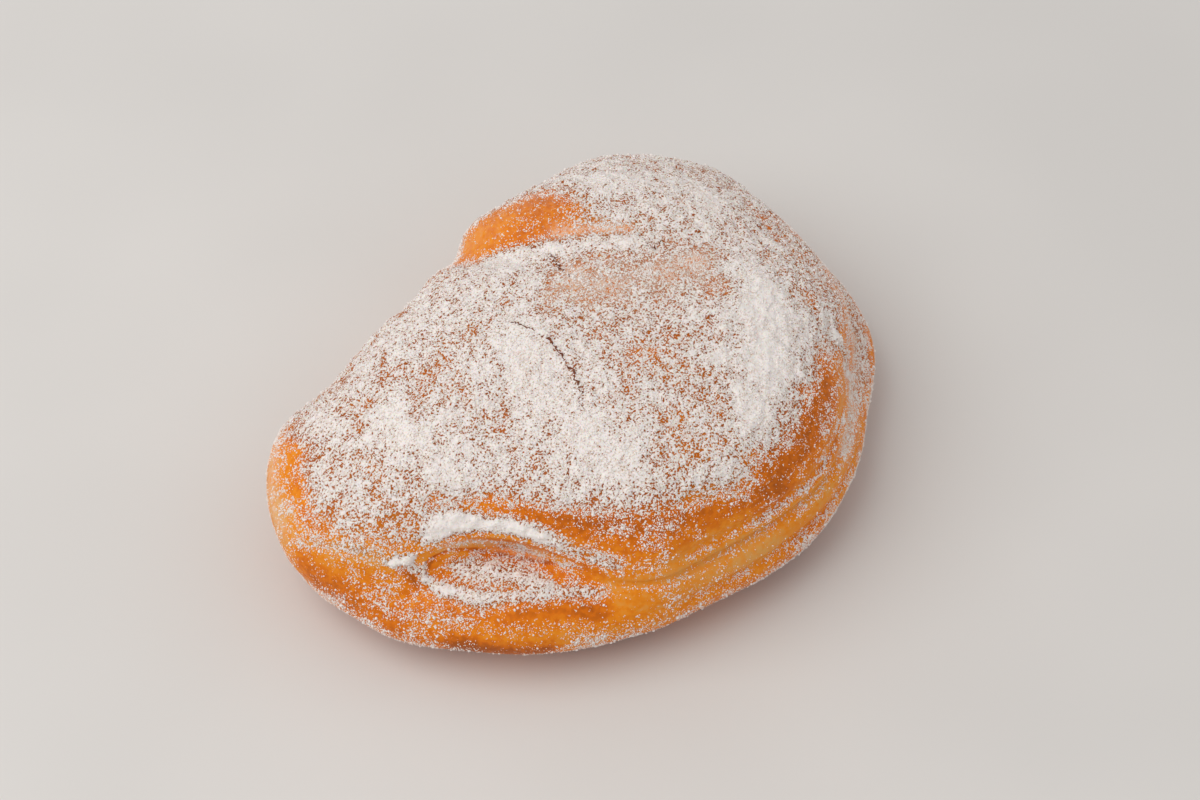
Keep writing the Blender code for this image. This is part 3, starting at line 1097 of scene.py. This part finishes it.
@dataclass(frozen=True)
class SugaredCrust:
    """Fried dough under icing sugar.

    The dough is orange where it is even, pale along the side and brown where it touched the
    pan; some of that brown is painted shade. The sugar is dull white, and tinted where it lies thin.
    Where the sugar lies thick, the crust in its pits is painted darker as their shade.
    """

    pale: Colour = (0.80, 0.38, 0.090, 1.0)
    golden: Colour = (0.87, 0.275, 0.011, 1.0)
    orange: Colour = (0.74, 0.178, 0.005, 1.0)
    brown: Colour = (0.44, 0.098, 0.006, 1.0)
    film: Colour = (0.90, 0.70, 0.57, 1.0)
    white: Colour = (0.94, 0.88, 0.85, 1.0)
    thin: Colour = (0.88, 0.73, 0.64, 1.0)
    # Painted shade: the crust's colour, darkened where it shows in the pits of thick sugar.
    gap: Colour = (0.32, 0.076, 0.010, 1.0)
    roughness: float = 0.42
    sugar_roughness: float = 0.92
    clouds: Grain = Grain(55.0, 3.0, 0.30, 0.70)
    mottle: Grain = Grain(800.0, 4.0, 0.32, 0.68)
    streaks: Grain = Grain(330.0, 3.0, 0.32, 0.70, (0.16, 0.16, 1.0))
    soft: Grain = Grain(1500.0, 3.0, 0.28, 0.62, (1.0, 1.0, 0.25))
    blisters: Grain = Grain(260.0, 2.0, 0.35, 0.75)
    lumps: Grain = Grain(750.0, 2.0, 0.30, 0.70)
    skin_relief: float = 0.35 * MM
    lump_relief: float = 0.22 * MM
    grain_relief: float = 0.20 * MM

    def crust_colour(self, tree: bpy.types.ShaderNodeTree) -> bpy.types.NodeSocket:
        """The bare dough's colour, over its browning attribute, which also holds painted shade, and over
        the film attribute.
        """
        browned_and_shaded = Finish.attribute(tree, "brown_and_shade")
        for pattern, share in ((self.clouds, 0.20), (self.mottle, 0.22), (self.streaks, 0.12)):
            browned_and_shaded = Finish.math(tree, "MULTIPLY_ADD", Finish.grain(tree, pattern), share, browned_and_shaded)
        colour = Finish.ramp(
            tree, browned_and_shaded, ((0.12, self.pale), (0.42, self.golden), (0.68, self.orange), (1.0, self.brown))
        )
        soft = Finish.grain(tree, self.soft)
        film = Finish.math(tree, "MULTIPLY", Finish.attribute(tree, "film"), soft)
        return Finish.mixed(tree, film, colour, self.film)

    def material(self) -> bpy.types.Material:
        """The material of the crust and of the sugar coat on it."""
        material, tree, shader = Finish.blank("sugared crust")
        sugar = tree.nodes.new("ShaderNodeGroup")
        sugar.node_tree = Finish.sugar_group()
        tree.links.new(Finish.attribute(tree, "cover"), sugar.inputs["Coverage"])
        mask, height = sugar.outputs["Mask"], sugar.outputs["Height"]
        white = Finish.mixed(tree, height, self.thin, self.white)
        # Painted shade: where sugar lies thick, the crust in its gaps is mixed towards the dark gap colour.
        deep = Finish.levels(tree, Finish.attribute(tree, "cover"), 0.30, 0.85, False)
        crust = Finish.mixed(tree, deep, self.crust_colour(tree), self.gap)
        colour = Finish.mixed(tree, mask, crust, white)
        tree.links.new(colour, shader.inputs["Base Color"])
        relief = Finish.bump(tree, Finish.grain(tree, self.blisters), self.skin_relief, 0.35)
        relief = Finish.bump(tree, Finish.grain(tree, self.streaks), self.skin_relief, 0.35, relief)
        lumps = Finish.math(tree, "MULTIPLY", mask, Finish.grain(tree, self.lumps))
        relief = Finish.bump(tree, lumps, self.lump_relief, 0.50, relief)
        relief = Finish.bump(tree, height, self.grain_relief, 0.75, relief)
        tree.links.new(relief, shader.inputs["Normal"])
        rough = tree.nodes.new("ShaderNodeMapRange")
        rough.inputs["To Min"].default_value = self.roughness
        rough.inputs["To Max"].default_value = self.sugar_roughness
        tree.links.new(mask, rough.inputs["Value"])
        tree.links.new(rough.outputs["Result"], shader.inputs["Roughness"])
        shader.inputs["IOR"].default_value = 1.38
        shader.inputs["Specular IOR Level"].default_value = 0.22
        shader.inputs["Subsurface Weight"].default_value = 0.10
        shader.inputs["Subsurface Radius"].default_value = (1.0, 0.45, 0.18)
        shader.inputs["Subsurface Scale"].default_value = 1.5 * MM
        return material


@dataclass(frozen=True)
class LooseFinish:
    """Loose icing sugar: dull white, with the smallest grains tinted by the crust."""

    white: Colour = (0.95, 0.90, 0.87, 1.0)
    thin: Colour = (0.92, 0.80, 0.71, 1.0)
    fine: Grain = Grain(4200.0, 2.0, 0.30, 0.70)
    relief: float = 0.06 * MM
    roughness: float = 0.92

    def material(self) -> bpy.types.Material:
        """The grains' material, over their depth attribute."""
        material, tree, shader = Finish.blank("icing sugar")
        colour = Finish.mixed(tree, Finish.attribute(tree, "depth"), self.thin, self.white)
        tree.links.new(colour, shader.inputs["Base Color"])
        relief = Finish.bump(tree, Finish.grain(tree, self.fine), self.relief, 0.5)
        tree.links.new(relief, shader.inputs["Normal"])
        shader.inputs["Roughness"].default_value = self.roughness
        shader.inputs["IOR"].default_value = 1.35
        return material


def corners_of(shape: bmesh.types.BMesh) -> np.ndarray:
    """The places of a shape's vertices, one row each."""
    return np.array([vert.co[:] for vert in shape.verts])


def move_to(shape: bmesh.types.BMesh, places: np.ndarray) -> None:
    """Moves a shape's vertices to places, one row each."""
    for vert, place in zip(shape.verts, places):
        vert.co = place


def meshed(shape: bmesh.types.BMesh, name: str) -> bpy.types.Mesh:
    """A new mesh from a finished shape, which is used up."""
    mesh = bpy.data.meshes.new(name)
    shape.to_mesh(mesh)
    shape.free()
    return mesh


def placed(name: str, data: bpy.types.ID) -> bpy.types.Object:
    """A new object in the scene, at the origin."""
    thing = bpy.data.objects.new(name, data)
    bpy.context.scene.collection.objects.link(thing)
    return thing


def hold(mesh: bpy.types.Mesh, name: str, values: np.ndarray) -> None:
    """Keeps one value for each vertex of a mesh, for its material to read."""
    layer = mesh.attributes.new(name, "FLOAT", "POINT")
    layer.data.foreach_set("value", values.astype(np.float32))


def vertex_rows(mesh: bpy.types.Mesh, what: str) -> np.ndarray:
    """A mesh's vertex places ("co") or normals ("normal"), one row each."""
    rows = np.empty(len(mesh.vertices) * 3, np.float32)
    mesh.vertices.foreach_get(what, rows)
    return rows.reshape(-1, 3).astype(float)


def place_piece(mesh: bpy.types.Mesh, material: bpy.types.Material) -> bpy.types.Object:
    """Makes a mesh a piece that rides on the part.

    Args:
        mesh: The finished mesh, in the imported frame. The piece takes its name.
        material: Its finish.

    Returns:
        The piece.
    """
    mesh.materials.append(material)
    piece = placed(mesh.name, mesh)
    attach(piece, "root")
    return piece


def dress_skin(mesh: bpy.types.Mesh, surface: Surface, places: np.ndarray, up: np.ndarray) -> None:
    """Works out where a piece of the skin is browned, painted with shade, filmed and sugared.

    Args:
        mesh: The piece's mesh.
        surface: The skin that it lies on.
        places: Where each vertex's spot on the skin is.
        up: How much the skin faces up there.
    """
    # Browning, with the painted shade of some strokes, for the crust's colour.
    hold(mesh, "brown_and_shade", Frying().brownness(surface, places, up))
    hold(mesh, "film", np.clip(surface.total(places, Laying.FILM), 0.0, 1.0))
    hold(mesh, "cover", np.clip(surface.coverage(places, up), -0.2, 1.3))


@dataclass
class Crust:
    """The fried dough itself, with finer faces round its mouth."""

    surface: Surface
    material: bpy.types.Material
    cuts: int = 111
    mouth_cuts: int = 2
    mouth_reach: float = 7.0 * MM

    def build(self) -> bpy.types.Object:
        """The crust's piece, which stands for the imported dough."""
        shape = self.surface.cube(self.cuts)
        points = self.surface.cast(shape)
        self.surface.settle(points)
        corners = corners_of(shape)
        points = points + self.surface.shift
        move_to(shape, points)
        self.surface.read_strokes(BVHTree.FromBMesh(shape))
        near = along(points, self.surface.paths["crease inside the mouth"])[0] < self.mouth_reach
        move_to(shape, corners)
        edges = [edge for edge in shape.edges if all(near[vert.index] for vert in edge.verts)]
        bmesh.ops.subdivide_edges(shape, edges=edges, cuts=self.mouth_cuts, use_grid_fill=True)
        bmesh.ops.triangulate(shape, faces=shape.faces[:])
        move_to(shape, self.surface.cast(shape) + self.surface.shift)
        bmesh.ops.recalc_face_normals(shape, faces=shape.faces[:])
        mesh = meshed(shape, "fried_crust")
        mesh.shade_smooth()
        places, normals = vertex_rows(mesh, "co"), vertex_rows(mesh, "normal")
        dress_skin(mesh, self.surface, places, normals[:, 2])
        places = self.surface.dented(places, normals)
        mesh.vertices.foreach_set("co", places.astype(np.float32).ravel())
        mesh.update()
        piece = place_piece(mesh, self.material)
        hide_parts("dough")
        return piece


@dataclass
class SugarCoat:
    """The sugar that lies thick enough to stand proud of the crust."""

    surface: Surface
    texture: CoatTexture
    material: bpy.types.Material
    cuts: int = 104
    finer: int = 1

    def build(self) -> bpy.types.Object:
        """The coat's piece: the skin where sugar lies thick, cut finer and lifted."""
        shape = self.surface.cube(self.cuts)
        points = self.surface.cast(shape) + self.surface.shift
        up = self.facing(points, shape)[:, 2]
        thick = self.surface.coverage(points, up) > self.texture.thinnest
        spare = [face for face in shape.faces if not any(thick[vert.index] for vert in face.verts)]
        bmesh.ops.delete(shape, geom=spare, context="FACES")
        bmesh.ops.subdivide_edges(shape, edges=shape.edges[:], cuts=self.finer, use_grid_fill=True)
        points = self.surface.cast(shape) + self.surface.shift
        normals = self.facing(points, shape)
        mesh = meshed(shape, "sugar_coat")
        dress_skin(mesh, self.surface, points, normals[:, 2])
        coverage = self.surface.coverage(points, normals[:, 2])
        stands = self.texture.thickness(points, coverage)
        points = self.surface.dented(points, normals) + normals * stands[:, None]
        mesh.vertices.foreach_set("co", points.astype(np.float32).ravel())
        mesh.update()
        mesh.shade_smooth()
        return place_piece(mesh, self.material)

    def facing(self, points: np.ndarray, shape: bmesh.types.BMesh) -> np.ndarray:
        """The skin's outward directions at a cut cube's vertices, with its faces turned outwards.

        Args:
            points: The vertices' places on the skin.
            shape: The cut cube, whose own places are left as they were.

        Returns:
            One direction for each vertex.
        """
        corners = corners_of(shape)
        move_to(shape, points)
        bmesh.ops.recalc_face_normals(shape, faces=shape.faces[:])
        shape.normal_update()
        normals = np.array([vert.normal[:] for vert in shape.verts])
        if (normals * (points - self.surface.heart())).sum() < 0:
            bmesh.ops.reverse_faces(shape, faces=shape.faces[:])
            normals = -normals
        move_to(shape, corners)
        shape.verts.index_update()
        return normals


@dataclass
class Cracks:
    """Fine cracks where the crown's sugar has parted, drawn as dark ribbons: the crust at their bottom,
    with painted shade.
    """

    surface: Surface
    texture: CoatTexture
    # Painted shade: a dark brown, darker than the crust, for the shade inside the crack.
    colour: Colour = (0.22, 0.052, 0.012, 1.0)
    step: float = 0.20 * MM
    wander: float = 0.50 * MM
    proud: float = 0.15 * MM

    def build(self) -> bpy.types.Object:
        """All the cracks, as one piece of narrow ribbons on the sugar."""
        shape = bmesh.new()
        for name, stroke in STROKES.items():
            if stroke.laying is Laying.CRACK:
                self.ribbon(shape, self.surface.paths[name], stroke)
        mesh = meshed(shape, "sugar_cracks")
        material, tree, shader = Finish.blank("crack")
        # The cracks' painted shade, made uneven along them.
        dark = tuple(0.6 * part for part in self.colour[:3]) + (1.0,)
        shade = Finish.grain(tree, Grain(1800.0, 1.0, 0.4, 0.6))
        tree.links.new(Finish.mixed(tree, shade, self.colour, dark), shader.inputs["Base Color"])
        shader.inputs["Roughness"].default_value = 0.8
        return place_piece(mesh, material)

    def ribbon(self, shape: bmesh.types.BMesh, path: np.ndarray, stroke: Stroke) -> None:
        """One crack, from two rows of vertices beside its wandering middle line.

        Args:
            shape: What the ribbon is added to.
            path: The crack's places on the skin.
            stroke: Its stroke, for its width.
        """
        runs = np.concatenate([[0.0], np.cumsum(np.linalg.norm(np.diff(path, axis=0), axis=1))])
        spots = np.arange(0.0, runs[-1], self.step)
        line = np.stack([np.interp(spots, runs, path[:, axis]) for axis in range(3)], axis=1)
        up = line - self.surface.heart()
        up = up / np.linalg.norm(up, axis=1)[:, None]
        sideways = np.cross(up, np.gradient(line, axis=0))
        sideways = sideways / np.linalg.norm(sideways, axis=1)[:, None]
        swing = noise_at(line, 1.1 * MM, Pattern.WANDER)
        swing = swing + 0.6 * noise_at(line, 0.5 * MM, Pattern.SMALL_WANDER)
        line = line + sideways * (self.wander * swing)[:, None]
        taper = np.sin(math.pi * (spots + 0.5 * self.step) / (spots[-1] + self.step)) ** 0.6
        uneven = np.clip(1.0 + 0.7 * noise_at(line, 0.9 * MM, Pattern.CRACK_WIDTH), 0.1, 2.0)
        width = stroke.width * MM * taper * uneven
        stands = self.texture.thickness(line, self.surface.coverage(line, up[:, 2]))
        line = line + up * (np.maximum(stands, 0.0) + self.proud)[:, None]
        rows = []
        for side in (-1.0, 1.0):
            spread = zip(line, sideways, width)
            rows.append([shape.verts.new(spot + side * across * wide) for spot, across, wide in spread])
        for k in range(len(spots) - 1):
            shape.faces.new((rows[0][k], rows[1][k], rows[1][k + 1], rows[0][k + 1]))
        bmesh.ops.recalc_face_normals(shape, faces=shape.faces[:])
        if sum(face.normal.z for face in shape.faces) < 0:
            bmesh.ops.reverse_faces(shape, faces=shape.faces[:])


class GrainShape(Enum):
    """The form of a grain."""

    LUMP = "rounded, of 20 faces"
    DIAMOND = "two four-sided points, of 8 faces"
    CHIP = "a three-sided point, of 4 faces"


@dataclass(frozen=True)
class GrainKind:
    """One size of loose sugar grain, and where it lies.

    The two weights say how strongly it gathers on a thin dusting and on the coat itself.
    """

    name: str
    count: int
    smallest: float
    largest: float
    on_dusting: float
    on_coat: float
    shape: GrainShape
    seed: int


GRAIN_KINDS = (
    GrainKind("sugar_clumps", 3000, 0.22 * MM, 0.38 * MM, 0.6, 0.7, GrainShape.LUMP, 11),
    GrainKind("sugar_grains", 21000, 0.15 * MM, 0.25 * MM, 0.9, 0.4, GrainShape.DIAMOND, 12),
    GrainKind("sugar_specks", 22000, 0.12 * MM, 0.20 * MM, 1.0, 0.10, GrainShape.DIAMOND, 13),
    GrainKind("sugar_dust", 16000, 0.07 * MM, 0.12 * MM, 1.0, 0.05, GrainShape.CHIP, 14),
)


@dataclass
class LooseSugar:
    """Sugar grains that lie apart on the crust and on the coat."""

    surface: Surface
    texture: CoatTexture
    material: bpy.types.Material
    crust: bpy.types.Object

    @staticmethod
    def grain(form: GrainShape) -> tuple[np.ndarray, np.ndarray]:
        """The vertices and triangles of one grain of unit size.

        Args:
            form: The grain's form.

        Returns:
            The vertices' places and the triangles' corners.
        """
        shape = bmesh.new()
        if form is GrainShape.LUMP:
            bmesh.ops.create_icosphere(shape, subdivisions=1, radius=1.0)
        elif form is GrainShape.DIAMOND:
            bmesh.ops.create_cone(
                shape, cap_ends=False, segments=4, radius1=1.0, radius2=0.0, depth=1.0,
                matrix=Matrix.Translation((0.0, 0.0, 0.5)),
            )
            half = shape.verts[:] + shape.edges[:] + shape.faces[:]
            bmesh.ops.mirror(shape, geom=half, axis="Z", merge_dist=1e-4)
            bmesh.ops.recalc_face_normals(shape, faces=shape.faces[:])
        else:
            bmesh.ops.create_cone(
                shape, cap_ends=True, cap_tris=False, segments=3, radius1=1.0, radius2=0.0, depth=1.4,
            )
        bmesh.ops.triangulate(shape, faces=shape.faces[:])
        bmesh.ops.remove_doubles(shape, verts=shape.verts[:], dist=1e-5)
        shape.verts.index_update()
        corners = corners_of(shape)
        triangles = np.array([[vert.index for vert in face.verts] for face in shape.faces])
        shape.free()
        return corners, triangles

    def build(self, kind: GrainKind) -> bpy.types.Object:
        """All the grains of one kind, as one piece.

        Args:
            kind: Their size and where they lie.

        Returns:
            The piece.
        """
        chance = np.random.default_rng(kind.seed)
        crust = self.crust.data
        places, normals = vertex_rows(crust, "co"), vertex_rows(crust, "normal")
        corners = np.empty(len(crust.polygons) * 3, np.int32)
        crust.polygons.foreach_get("vertices", corners)
        corners = corners.reshape(-1, 3)
        area = np.empty(len(crust.polygons), np.float32)
        crust.polygons.foreach_get("area", area)
        middles = places[corners].mean(axis=1)
        facing = normals[corners].mean(axis=1)
        covered = self.surface.coverage(middles, facing[:, 2])
        spread = np.where(covered < 0.29, 0.12, 0.24)
        thin = np.exp(-(((covered - 0.29) / spread) ** 2)) * eased((facing[:, 2] + 0.85) / 0.5)
        gathered = 0.8 * noise_at(middles, 3.0 * MM, Pattern.GATHERING)
        gathered = np.exp(gathered + 0.9 * noise_at(middles, 1.4 * MM, Pattern.CLUSTERS))
        on_coat = kind.on_coat * np.clip(covered - 0.3, 0.0, 1.0)
        wish = area * (kind.on_dusting * thin * gathered + on_coat)
        wish = wish * (middles[:, 2] > 0.4 * MM)
        picked = chance.choice(len(corners), kind.count, p=wish / wish.sum())
        shares = chance.dirichlet((1.0, 1.0, 1.0), kind.count)
        spots = (places[corners[picked]] * shares[:, :, None]).sum(axis=1)
        up = facing[picked]
        up = up / np.linalg.norm(up, axis=1)[:, None]
        stands = self.texture.thickness(spots, self.surface.coverage(spots, up[:, 2]))
        size = kind.smallest + (kind.largest - kind.smallest) * chance.random(kind.count) ** 2
        spots += up * (np.maximum(stands, 0.0) + 0.35 * size)[:, None]
        return self.joined(kind, chance, spots, size)

    def joined(
        self, kind: GrainKind, chance: np.random.Generator, spots: np.ndarray, size: np.ndarray
    ) -> bpy.types.Object:
        """Grains at places, each turned and squeezed its own way, joined in one mesh.

        Args:
            kind: The kind of grain.
            chance: The kind's own random draw.
            spots: The grains' middles.
            size: The grains' radii.

        Returns:
            The piece.
        """
        corners, triangles = self.grain(kind.shape)
        spins = chance.normal(size=(kind.count, 3, 3))
        spins = np.linalg.qr(spins)[0]
        spins *= np.sign(np.linalg.det(spins))[:, None, None]
        squeeze = chance.uniform(0.65, 1.15, (kind.count, 1, 3))
        uneven = chance.uniform(0.82, 1.18, (kind.count, len(corners), 1))
        rows = (corners[None] * squeeze * uneven * size[:, None, None]) @ spins + spots[:, None]
        offsets = np.arange(kind.count)[:, None, None] * len(corners)
        faces = (triangles[None] + offsets).reshape(-1, 3)
        mesh = bpy.data.meshes.new(kind.name)
        mesh.from_pydata(rows.reshape(-1, 3).tolist(), [], faces.tolist())
        mesh.update()
        if kind.shape is GrainShape.LUMP:
            mesh.shade_smooth()
        hold(mesh, "depth", np.repeat(np.clip(size / (0.22 * MM), 0.35, 1.0), len(corners)))
        return place_piece(mesh, self.material)


@dataclass(frozen=True)
class Studio:
    """A plain pale floor under a soft light from the upper left."""

    floor_size: float = 4.0
    floor_colour: Colour = (0.76, 0.74, 0.72, 1.0)
    light_size: float = 1.1
    light_distance: float = 1.1
    light_azimuth: float = 154.0
    light_elevation: float = 56.0
    light_power: float = 5.8
    sky: float = 0.568

    def build(self) -> None:
        """The floor, the light and the room's own light."""
        self.floor()
        self.light()
        world = bpy.data.worlds.new("room")
        world.use_nodes = True
        room = world.node_tree.nodes["Background"]
        room.inputs["Color"].default_value = (1.0, 0.985, 0.97, 1.0)
        room.inputs["Strength"].default_value = self.sky
        bpy.context.scene.world = world
        bpy.context.scene.view_settings.view_transform = "Standard"

    def floor(self) -> None:
        """A flat floor with a dull, hardly uneven finish."""
        shape = bmesh.new()
        bmesh.ops.create_grid(shape, x_segments=4, y_segments=4, size=self.floor_size / 2)
        mesh = meshed(shape, "floor")
        material, tree, shader = Finish.blank("floor")
        clouds = Finish.grain(tree, Grain(9.0, 2.0, 0.3, 0.7))
        darker = tuple(0.95 * part for part in self.floor_colour[:3]) + (1.0,)
        tree.links.new(Finish.mixed(tree, clouds, self.floor_colour, darker), shader.inputs["Base Color"])
        shader.inputs["Roughness"].default_value = 0.7
        mesh.materials.append(material)
        floor = placed("floor", mesh)

    def light(self) -> None:
        """A large soft light, aimed at the middle of the object."""
        turn, lift = math.radians(self.light_azimuth), math.radians(self.light_elevation)
        away = Vector((math.cos(turn) * math.cos(lift), math.sin(turn) * math.cos(lift), math.sin(lift)))
        data = bpy.data.lights.new("window", "AREA")
        data.shape = "DISK"
        data.size = self.light_size
        data.energy = self.light_power
        data.color = (1.0, 0.985, 0.96)
        lamp = placed("window", data)
        lamp.location = away * self.light_distance
        lamp.rotation_mode = "QUATERNION"
        lamp.rotation_quaternion = (-away).to_track_quat("-Z", "Y")


def report(piece: bpy.types.Object) -> None:
    """Logs a piece's name and how many triangles it has."""
    piece.data.calc_loop_triangles()
    log.info("%s: %d triangles", piece.name, len(piece.data.loop_triangles))


def main() -> None:
    """Builds the looks in order: the view, the crust, its sugar and the studio."""
    logging.basicConfig(level=logging.INFO, format="%(message)s")
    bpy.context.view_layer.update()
    view = PhotoView()
    view.build()
    surface = Surface(DoughForm(), view, Dusting())
    finish = SugaredCrust().material()
    crust = Crust(surface, finish).build()
    report(crust)
    texture = CoatTexture()
    report(SugarCoat(surface, texture, finish).build())
    report(Cracks(surface, texture).build())
    loose = LooseSugar(surface, texture, LooseFinish().material(), crust)
    for kind in GRAIN_KINDS:
        report(loose.build(kind))
    Studio().build()


if __name__ == "__main__":
    main()
